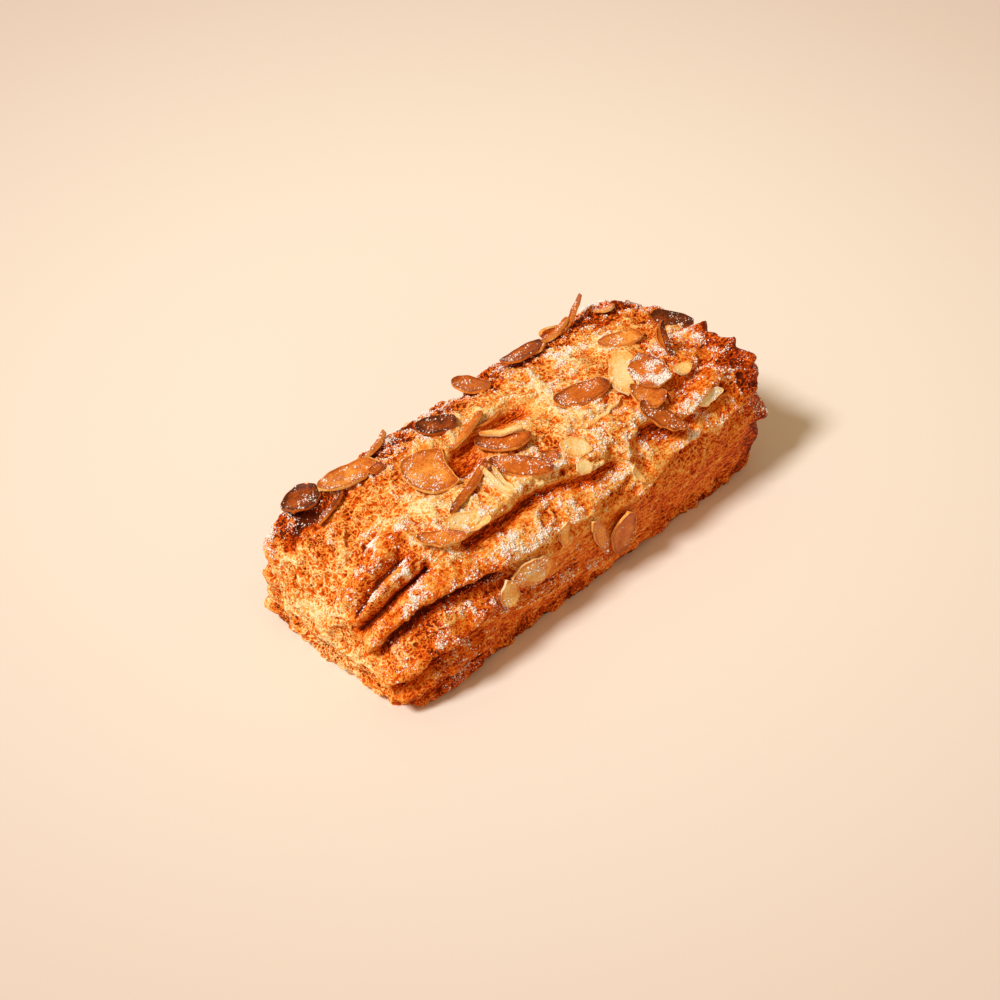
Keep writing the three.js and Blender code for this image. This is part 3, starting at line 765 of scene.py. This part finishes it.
def crust_dust(bare, facing, fold_sugar):
    """How thickly sugar lies on the crust, from how far it faces up and the sugar of its folds."""
    drifts = math.prod(
        smooth_step(low, high, smooth_noise(bare / size, DRIFT_SHIFT)) for size, low, high in SUGAR_DRIFTS
    )
    level = smooth_step(*CRUST_FACING, facing) * smooth_step(*SUGAR_STATIONS, bare[:, 0])
    spread = patched(np.full(len(bare), SUGAR_LEVEL), bare, SUGARING)
    settled = spread * level + fold_sugar * smooth_step(*FOLD_FACING, facing)
    return np.clip(settled * drifts, 0, MOST_SUGAR)


def crust_mesh():
    """The crust, with how brown, how rough and how sugared it is at each vertex. The brown carries painted
    shade in the hollows and pits and a painted highlight on the crests.
    """
    shape, bare, underside = bare_crust()
    wandered = bare + sum(far * noise_vectors(bare / size) for size, far in WANDER)
    ridge, furrow, fold_sugar, fold_brown = fold_heights(wandered)
    relief = crag_heights(bare) + ridge - furrow
    move_vertices(shape, bare + outward_normals(shape) * relief[:, None])

    crest = smooth_step(*CREST_HEIGHTS, ridge)
    hollow = smooth_step(*HOLLOW_DEPTHS, furrow)
    rough = 1 - FURROW_SMOOTHING * smooth_step(*SMOOTH_DEPTHS, furrow) - CREST_SMOOTHING * crest
    rough = np.maximum(patched(rough, bare, ROUGHNESS), LEAST_ROUGH)
    crumb = rough * crumb_heights(wandered)
    outward = outward_normals(shape)
    points = vertex_places(shape) + outward * crumb[:, None]
    points[:, 2] = np.maximum(points[:, 2], heel_heights(points))

    # Painted shade darkens the hollows and the low crumb, and a painted highlight pales the crests
    brown = BROWNING + fold_brown + HOLLOW_BROWNING_AND_SHADE * hollow - CREST_PAINTED_HIGHLIGHT * crest - CRUMB_PALING_AND_PIT_SHADE * crumb
    brown = patched(brown, wandered, PATCHES)
    brown[underside] = UNDERSIDE_BROWNING
    dust = crust_dust(bare, outward[:, 2], fold_sugar)
    dust *= (1 - hollow) * smooth_step(*SUGAR_CRUMB, crumb)
    dust[underside] = 0

    move_vertices(shape, points * MM)
    mesh = bpy.data.meshes.new("crust")
    shape.to_mesh(mesh)
    shape.free()
    add_attribute(mesh, "brown", brown)
    add_attribute(mesh, "rough", rough)
    add_attribute(mesh, "dust", dust)
    return mesh


# The almond flakes


def seeded_draw(seed):
    """Repeatable draws from 0 to 1."""
    state = seed
    while True:
        state = state * DRAW_STEP % DRAW_RANGE
        yield state / DRAW_RANGE


def left_flakes():
    """The flakes of the left wall."""
    draws = seeded_draw(LEFT_FLAKE_SEED)
    stray_station, stray_girth = LEFT_FLAKE_STRAY
    flakes = []
    for station, girth in product(LEFT_FLAKE_STATIONS, LEFT_FLAKE_GIRTHS):
        at = (
            station + lerp(-stray_station, stray_station, next(draws)),
            girth + lerp(-stray_girth, stray_girth, next(draws)),
        )
        long = lerp(*LEFT_FLAKE_LONG, next(draws))
        wide = lerp(*LEFT_FLAKE_WIDE, next(draws))
        turn = lerp(*LEFT_FLAKE_TURN, next(draws))
        tone = lerp(*LEFT_FLAKE_TONE, abs(math.sin(station + girth)))
        flakes.append(Flake(at, long, wide, tone, turn=turn, lift=LEFT_FLAKE_LIFT))
    return flakes


def crust_frame(station, girth):
    """The frame of the crust at a place: X along the loaf, Y towards its left and Z out of the crust."""
    along = unit(crust_points(station + 1, girth) - crust_points(station - 1, girth))
    around = crust_points(station, girth + 1) - crust_points(station, girth - 1)
    outward = unit(np.cross(along, around))
    middle = crust_points(station, girth)
    ridge, furrow, _, _ = fold_heights(middle[None])
    height = crag_heights(middle[None]) + ridge - furrow
    pose = Matrix(np.column_stack([along, np.cross(outward, along), outward])).to_4x4()
    pose.translation = Vector(middle + outward * height)
    return pose


def flake_outline(flake, along, across):
    """The half width of a flake along it, as a share of its widest."""
    whole = lerp(FLAKE_TIP, 1, np.sqrt(1 - np.minimum(1, np.abs(along)) ** flake.point))
    order = np.argsort(along)
    corners = np.interp(FLAKE_CORNERS, along[order], whole[order])
    angular = np.where(
        across > 0,
        np.interp(along, FLAKE_CORNERS, corners),
        np.interp(along, -FLAKE_CORNERS[::-1], corners[::-1]),
    )
    return lerp(whole, angular, flake.broken)


def flake_places(flake, box, number):
    """The vertices of a flake laid on the crust. Its number gives it its own unevenness."""
    edge = flake.cut - flake.bite * (1 - box[:, 1] ** 2)
    along = lerp(-1, edge, (box[:, 0] + 1) / 2)
    across = box[:, 1]
    sideways = (across + flake.skew) * flake_outline(flake, along, across) - flake.skew
    rim = lerp(1, FLAKE_RIM, np.abs(across))
    curl = flake.bend * (along**2 + FLAKE_CUP * across**2 - FLAKE_SAG)
    layer = np.full(len(box), number * FLAKE_NOISE_GAP)
    flat = np.stack([along * flake.long / 2, sideways * flake.wide / 2, layer], axis=1)
    wave = FLAKE_WAVE * smooth_noise(flat / FLAKE_WAVE_SIZE, WAVE_SHIFT)
    places = flat + FLAKE_RAGGED * noise_vectors(flat / FLAKE_RAGGED_SIZE)
    places[:, 2] = box[:, 2] * flake.thick * rim / 2 + curl + wave
    pose = (
        crust_frame(*flake.at)
        @ Matrix.Rotation(math.radians(flake.turn), 4, "Z")
        @ Matrix.Translation((0, 0, flake.lift))
        @ Matrix.Rotation(math.radians(-flake.pitch), 4, "Y")
        @ Matrix.Rotation(math.radians(flake.roll), 4, "X")
    )
    pose = np.array(pose)
    return places @ pose[:3, :3].T + pose[:3, 3]


def flake_mesh():
    """All the flakes, with how brown, how near the rim and how sugared they are at each vertex."""
    box, faces = shape_arrays(grid_box(*FLAKE_SEGMENTS))
    flakes = FLAKES + left_flakes()
    places = np.array([flake_places(flake, box, number) for number, flake in enumerate(flakes)])
    mesh = joined_mesh("almond_flakes", places, faces)
    mesh.set_sharp_from_angle(angle=FLAKE_SHARP)
    inward = 1 - np.abs(box[:, :2]).max(axis=1)
    is_top = np.isclose(box[:, 2], 1)
    add_attribute(mesh, "brown", np.repeat([flake.tone for flake in flakes], len(box)))
    add_attribute(mesh, "inward", np.tile(inward, len(flakes)))
    sugar = np.repeat([flake.sugar for flake in flakes], len(box))
    noise = smooth_noise(places.reshape(-1, 3) / FLAKE_CLUMP_SIZE, CLUMP_SHIFT)
    clumps = smooth_step(*FLAKE_CLUMPS, noise)
    level = np.tile(is_top * smooth_step(*FLAKE_SUGAR_INWARD, inward), len(flakes))
    add_attribute(mesh, "dust", FLAKE_SUGARING * sugar * clumps * level)
    return mesh


# The powdered sugar


def mesh_values(mesh, name):
    """A mesh's numbers for each vertex."""
    values = np.empty(len(mesh.vertices), np.float32)
    mesh.attributes[name].data.foreach_get("value", values)
    return values


def dusted_triangles(meshes):
    """The corners of the triangles of meshes, and how sugared each triangle is."""
    corners = []
    dust = []
    for mesh in meshes:
        mesh.calc_loop_triangles()
        triangles = np.array([triangle.vertices for triangle in mesh.loop_triangles])
        places = np.array([vertex.co for vertex in mesh.vertices]) / MM
        corners.append(places[triangles])
        dust.append(mesh_values(mesh, "dust")[triangles].mean(axis=1))
    return np.concatenate(corners), np.concatenate(dust)


def sugar_mesh(name, meshes, grain, count, sizes, seed):
    """Grains of sugar scattered on meshes where their dust is."""
    corners, dust = dusted_triangles(meshes)
    normals = np.cross(corners[:, 1] - corners[:, 0], corners[:, 2] - corners[:, 0])
    outward = unit(normals)
    weights = dust * np.linalg.norm(normals, axis=1) * smooth_step(*GRAIN_FACING, outward[:, 2])
    draw = np.random.default_rng(seed)
    chosen = draw.choice(len(weights), size=count, p=weights / weights.sum())
    first, second = np.sort(draw.random((2, count)), axis=0)
    shares = np.stack([first, second - first, 1 - second], axis=1)
    middles = (corners[chosen] * shares[:, :, None]).sum(axis=1)
    size = lerp(*sizes, draw.random(count) ** 2)
    middles += outward[chosen] * size[:, None] * GRAIN_CLEAR
    stretch = lerp(*GRAIN_STRETCH, draw.random((count, 1, 3)))
    turns = np.linalg.qr(draw.normal(size=(count, 3, 3)))[0]
    places, faces = grain
    grains = np.einsum("nij,nvj->nvi", turns, places[None] * stretch) * size[:, None, None]
    return joined_mesh(name, grains + middles[:, None], faces)


def coarse_grain():
    """A lump of sugar."""
    shape = bmesh.new()
    bmesh.ops.create_icosphere(shape, subdivisions=1, radius=1)
    return shape_arrays(shape)


def fine_grain():
    """A crystal of sugar."""
    shape = bmesh.new()
    bmesh.ops.create_uvsphere(shape, u_segments=4, v_segments=2, radius=1)
    return shape_arrays(shape)


# Finishes


class Amount:
    """A number or colour that varies over a surface: a node's output, with arithmetic for numbers."""

    def __init__(self, finish, socket):
        self.finish = finish
        self.socket = socket

    def __add__(self, other):
        return self.finish.maths("ADD", self, other)

    def __sub__(self, other):
        return self.finish.maths("SUBTRACT", self, other)

    def __rsub__(self, other):
        return self.finish.maths("SUBTRACT", other, self)

    def __mul__(self, other):
        return self.finish.maths("MULTIPLY", self, other)

    def __abs__(self):
        return self.finish.maths("ABSOLUTE", self, 0)

    __radd__ = __add__
    __rmul__ = __mul__


class Finish:
    """A procedural material."""

    def __init__(self, name):
        self.material = bpy.data.materials.new(name)
        self.material.use_nodes = True
        self.tree = self.material.node_tree
        self.tree.nodes.clear()
        self.places = self.node("TexCoord", output="Object")

    def node(self, kind, settings=(), inputs=(), output=0):
        """Adds a node, its settings first and then its sockets' values or links. Gives one of its outputs."""
        made = self.tree.nodes.new("ShaderNode" + kind)
        for name, value in dict(settings).items():
            if name == "stops":
                self.set_stops(made.color_ramp, value)
            else:
                setattr(made, name, value)
        for name, value in dict(inputs).items():
            if isinstance(value, Amount):
                self.tree.links.new(value.socket, made.inputs[name])
            else:
                made.inputs[name].default_value = value
        return Amount(self, made.outputs[output]) if made.outputs else None

    def set_stops(self, ramp, stops):
        """Gives a colour ramp its stops."""
        while len(ramp.elements) < len(stops):
            ramp.elements.new(0.5)
        for element, (position, shade) in zip(ramp.elements, stops):
            element.position = position
            element.color = shade

    def maths(self, operation, first, second):
        """Arithmetic on numbers."""
        return self.node("Math", {"operation": operation}, {0: first, 1: second})

    def attribute(self, name):
        """A number that the mesh stores for each vertex."""
        return self.node("Attribute", {"attribute_name": name}, output="Fac")

    def noise(self, size, detail=2, roughness=0.5, stretch=(1, 1, 1)):
        """Noise from about -0.5 to 0.5 in lumps of a size in millimetres. stretch below 1 draws them out."""
        places = self.node("Mapping", inputs={"Vector": self.places, "Scale": stretch})
        inputs = {"Vector": places, "Scale": 1 / (size * MM), "Detail": detail, "Roughness": roughness}
        return self.node("TexNoise", inputs=inputs, output="Fac") - 0.5

    def cells(self, size):
        """The distance from the middles of cells of a size in millimetres, as a share of that size."""
        inputs = {"Vector": self.places, "Scale": 1 / (size * MM)}
        return self.node("TexVoronoi", inputs=inputs, output="Distance")

    def ramp(self, value, stops):
        """A colour that follows a number."""
        return self.node("ValToRGB", {"stops": stops}, {"Fac": value}, "Color")

    def step(self, value, low, high):
        """0 below low, 1 above high and a soft rise between them."""
        settings = {"interpolation_type": "SMOOTHSTEP"}
        return self.node("MapRange", settings, {"Value": value, "From Min": low, "From Max": high})

    def mix(self, share, first, second):
        """A colour between two others."""
        return self.node("Mix", {"data_type": "RGBA"}, {0: share, 6: first, 7: second}, 2)

    def bump(self, height, distance):
        """A surface that is raised by a height, times a distance in millimetres."""
        return self.node("Bump", inputs={"Height": height, "Distance": distance * MM, "Strength": 1})

    def shade(self, inputs):
        """Ends the finish with the shader and gives its material."""
        shader = self.node("BsdfPrincipled", inputs=inputs)
        self.node("OutputMaterial", inputs={"Surface": shader})
        return self.material


# The crust and the almonds share their palest shades
CREAM = colour(255, 234, 178)
PALE_GOLD = colour(250, 198, 112)
GOLD = colour(240, 152, 56)
ORANGE_BROWN = colour(230, 102, 14)
RED_BROWN = colour(188, 58, 3)
DARK_BROWN = colour(98, 33, 6)
TAN = colour(246, 158, 64)
NUT_BROWN = colour(214, 110, 34)
DEEP_NUT = colour(150, 64, 17)
DARK_NUT = colour(84, 36, 12)
SUGAR_WHITE = colour(255, 253, 248)
SUGAR_SHADE = colour(254, 244, 230)
FLOOR_PALE = colour(245, 237, 225)
# The floor's painted shade away from the eclair
FLOOR_PAINTED_DIM = colour(218, 202, 191)

# Shades from the least to the most browned
CRUST_SHADES = [
    (0, CREAM),
    (0.26, PALE_GOLD),
    (0.46, GOLD),
    (0.66, ORANGE_BROWN),
    (0.84, RED_BROWN),
    (1, DARK_BROWN),
]
ALMOND_SHADES = [
    (0, CREAM),
    (0.22, PALE_GOLD),
    (0.38, TAN),
    (0.56, NUT_BROWN),
    (0.84, DEEP_NUT),
    (1, DARK_NUT),
]

# Markings of the crust: tangles of strands of two sizes, speckles, fibres along the smooth skin, mottling and
# pinholes
TANGLE_SIZE = 3
TANGLE_NOISE = (-0.1, 0.12)
STRAND_SIZES = (1.5, 0.9)
STRAND_NOISE = (0, 0.13)
SPECKLE_SIZE = 0.5
FIBRE_SIZE = 0.6
FIBRE_STRETCH = (0.2, 1, 1)
MOTTLE_SIZE = 4
PINHOLE_SPACING = 2.2
PINHOLE_EDGE = (0.1, 0.26)

# The strand value that counts as level crumb, and how much each marking browns the crust or its smooth skin.
# The strands pale the crumb and brown it between them, partly its own colour and partly painted highlight and
# shade, and painted shade darkens the pinholes
STRAND_LEVEL = 0.4
STRAND_PALING_AND_SHADE = 0.56
SPECKLE_BROWNING = 0.35
MOTTLE_BROWNING = 0.18
PINHOLE_PAINTED_SHADE = 0.2
SKIN_FIBRE_BROWNING = 1.6
SKIN_SPECKLE_BROWNING = 0.9

# How high or deep the markings are, as shares of the bump
CRUST_BUMP = 0.5
STRAND_HEIGHT = 0.25
SPECKLE_DEPTH = 0.3
PINHOLE_DEPTH = 0.5

# How rough the crust is, and the fine powder that gathers on strands, whitens over a range and roughens it
CRUST_ROUGHNESS = 0.5
CRUST_POWDER_SIZE = 0.6
CRUST_POWDER_RANGE = (0.3, 0.6)
CRUST_POWDER_WHITE = 0.8
CRUST_POWDER_ROUGH = 0.3
POWDER_ON_STRANDS = 0.7
POWDER_BETWEEN = 0.5

# Markings of the almonds and how much they brown a flake, how much painted shade darkens it near its edge and
# how much a painted highlight pales its rim
BLOTCH_SIZE = 5
BLOTCH_BROWNING = 0.6
ALMOND_GRAIN_SIZE = 0.6
ALMOND_GRAIN_BROWNING = 0.6
ALMOND_BUMP = 0.15
ALMOND_ROUGHNESS = 0.42
EDGE_INWARD = (0.04, 0.4)
EDGE_PAINTED_SHADE = 0.2
RIM_INWARD = (0, 0.05)
RIM_PAINTED_HIGHLIGHT = 0.4

# Fine powder on the almonds
FLAKE_POWDER_SIZE = 0.7
FLAKE_POWDER_RANGE = (0.42, 0.72)
FLAKE_POWDER_SHARE = 0.6
FLAKE_POWDER_WHITE = 0.7
FLAKE_POWDER_ROUGH = 0.4

# Shading of the sugar itself
SUGAR_SHADING_SIZE = 1.5


def crust_finish():
    """Baked choux: pale crumb, golden crust and browned furrows, dusted with sugar. Painted shade darkens its
    furrows, its pinholes and the crumb between strands, and a painted highlight pales the strands.
    """
    finish = Finish("baked_choux")
    rough = finish.attribute("rough")
    tangle = finish.step(finish.noise(TANGLE_SIZE, detail=1), *TANGLE_NOISE)
    coarse, fine = [
        1 - finish.step(abs(finish.noise(size, detail=1)), *STRAND_NOISE) for size in STRAND_SIZES
    ]
    strand = coarse * tangle + fine * (1 - tangle)
    speckle = finish.noise(SPECKLE_SIZE, roughness=0.6)
    fibre = finish.noise(FIBRE_SIZE, roughness=0.6, stretch=FIBRE_STRETCH)
    mottle = finish.noise(MOTTLE_SIZE)
    pinhole = rough * (1 - finish.step(finish.cells(PINHOLE_SPACING), *PINHOLE_EDGE))
    crumb = rough * (strand - STRAND_LEVEL)
    # Strands paler and crumb between them browner, partly painted highlight and shade; pinholes take painted
    # shade
    brown = finish.attribute("brown") - crumb * STRAND_PALING_AND_SHADE + speckle * SPECKLE_BROWNING
    brown = brown + mottle * MOTTLE_BROWNING + pinhole * PINHOLE_PAINTED_SHADE
    skin = fibre * SKIN_FIBRE_BROWNING + speckle * SKIN_SPECKLE_BROWNING
    crust = finish.ramp(brown + skin * (1 - rough), CRUST_SHADES)
    dust = finish.attribute("dust") * (strand * POWDER_ON_STRANDS + POWDER_BETWEEN)
    scatter = finish.noise(CRUST_POWDER_SIZE, detail=3, roughness=0.7)
    powder = finish.step(dust + scatter, *CRUST_POWDER_RANGE)
    height = crumb * STRAND_HEIGHT - speckle * SPECKLE_DEPTH - pinhole * PINHOLE_DEPTH
    return finish.shade(
        {
            "Base Color": finish.mix(powder * CRUST_POWDER_WHITE, crust, SUGAR_WHITE),
            "Roughness": powder * CRUST_POWDER_ROUGH + CRUST_ROUGHNESS,
            "Specular IOR Level": 0.05,
            "Normal": finish.bump(height, CRUST_BUMP),
        }
    )


def almond_finish():
    """Toasted almond: cream to dark brown, with painted shade near its edge and a painted highlight at the
    rim.
    """
    finish = Finish("toasted_almond")
    inward = finish.attribute("inward")
    blotch = finish.noise(BLOTCH_SIZE)
    grain = finish.noise(ALMOND_GRAIN_SIZE, detail=3, roughness=0.6)
    # A painted highlight along the rim and painted shade in a band just inside it
    rim = 1 - finish.step(inward, *RIM_INWARD)
    edge = 1 - finish.step(inward, *EDGE_INWARD)
    brown = finish.attribute("brown") + blotch * BLOTCH_BROWNING + grain * ALMOND_GRAIN_BROWNING
    almond = finish.ramp(brown + edge * EDGE_PAINTED_SHADE - rim * RIM_PAINTED_HIGHLIGHT, ALMOND_SHADES)
    dust = finish.attribute("dust") * FLAKE_POWDER_SHARE
    scatter = finish.noise(FLAKE_POWDER_SIZE, detail=3, roughness=0.7)
    powder = finish.step(dust + scatter, *FLAKE_POWDER_RANGE)
    return finish.shade(
        {
            "Base Color": finish.mix(powder * FLAKE_POWDER_WHITE, almond, SUGAR_WHITE),
            "Roughness": powder * FLAKE_POWDER_ROUGH + ALMOND_ROUGHNESS,
            "Specular IOR Level": 0.16,
            "Normal": finish.bump(grain, ALMOND_BUMP),
        }
    )


def sugar_finish():
    """White powdered sugar."""
    finish = Finish("powdered_sugar")
    shade = finish.mix(finish.noise(SUGAR_SHADING_SIZE) + 0.5, SUGAR_SHADE, SUGAR_WHITE)
    return finish.shade({"Base Color": shade, "Roughness": 0.85, "Specular IOR Level": 0.2})


def floor_finish():
    """Pale matte paper with a painted pool of light behind the eclair and painted shade away from it."""
    finish = Finish("pale_floor")
    # Painted light and shade: brightest behind the eclair, darker further away
    inputs = {0: finish.places, 1: FLOOR_PAINTED_LIGHT_AT}
    distance = finish.node("VectorMath", {"operation": "DISTANCE"}, inputs, "Value")
    shade = finish.mix(finish.step(distance, *FLOOR_PAINTED_FALLOFF), FLOOR_PALE, FLOOR_PAINTED_DIM)
    return finish.shade({"Base Color": shade, "Roughness": 0.8, "Specular IOR Level": 0.2})


# The stage


def add_floor():
    """The pale floor."""
    shape = bmesh.new()
    bmesh.ops.create_grid(shape, x_segments=FLOOR_SEGMENTS, y_segments=FLOOR_SEGMENTS, size=FLOOR_HALF)
    mesh = bpy.data.meshes.new("floor")
    shape.to_mesh(mesh)
    shape.free()
    mesh.materials.append(floor_finish())
    floor = bpy.data.objects.new("floor", mesh)
    bpy.context.scene.collection.objects.link(floor)


def add_lights():
    """A soft key from the upper left over an even fill."""
    scene = bpy.context.scene
    lamp = bpy.data.lights.new("key", "AREA")
    lamp.shape = "DISK"
    lamp.size = KEY_SIZE
    lamp.energy = KEY_POWER
    lamp.color = KEY_TINT
    key = bpy.data.objects.new("key", lamp)
    key.location = KEY_FROM * KEY_DISTANCE
    key.rotation_euler = KEY_FROM.to_track_quat("Z", "Y").to_euler()
    scene.collection.objects.link(key)
    world = bpy.data.worlds.new("studio")
    world.use_nodes = True
    fill = world.node_tree.nodes["Background"]
    fill.inputs["Color"].default_value = FILL_TINT
    fill.inputs["Strength"].default_value = FILL_STRENGTH
    scene.world = world
    scene.view_settings.view_transform = "Standard"


def add_camera():
    """The camera over the near right corner."""
    level = math.cos(VIEW_ELEVATION)
    back = Vector((math.sin(VIEW_AZIMUTH) * level, -math.cos(VIEW_AZIMUTH) * level, math.sin(VIEW_ELEVATION)))
    lens = bpy.data.cameras.new("camera")
    lens.lens = VIEW_LENS
    camera = bpy.data.objects.new("camera", lens)
    camera.location = VIEW_TARGET + back * VIEW_DISTANCE
    camera.rotation_euler = back.to_track_quat("Z", "Y").to_euler()
    bpy.context.scene.collection.objects.link(camera)
    bpy.context.scene.camera = camera


add_camera()
add_lights()
add_floor()

crust = crust_mesh()
flakes = flake_mesh()
grains = sugar_mesh("sugar_grains", [crust, flakes], coarse_grain(), GRAINS, GRAIN_SIZES, GRAIN_SEED)
dust = sugar_mesh("sugar_dust", [crust, flakes], fine_grain(), DUST_GRAINS, DUST_SIZES, DUST_SEED)
sugar = sugar_finish()
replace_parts(add_piece("crust", crust, crust_finish()), "eclair")
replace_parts(add_piece("almond_flakes", flakes, almond_finish()), "eclair")
add_piece("sugar_grains", grains, sugar)
add_piece("sugar_dust", dust, sugar)
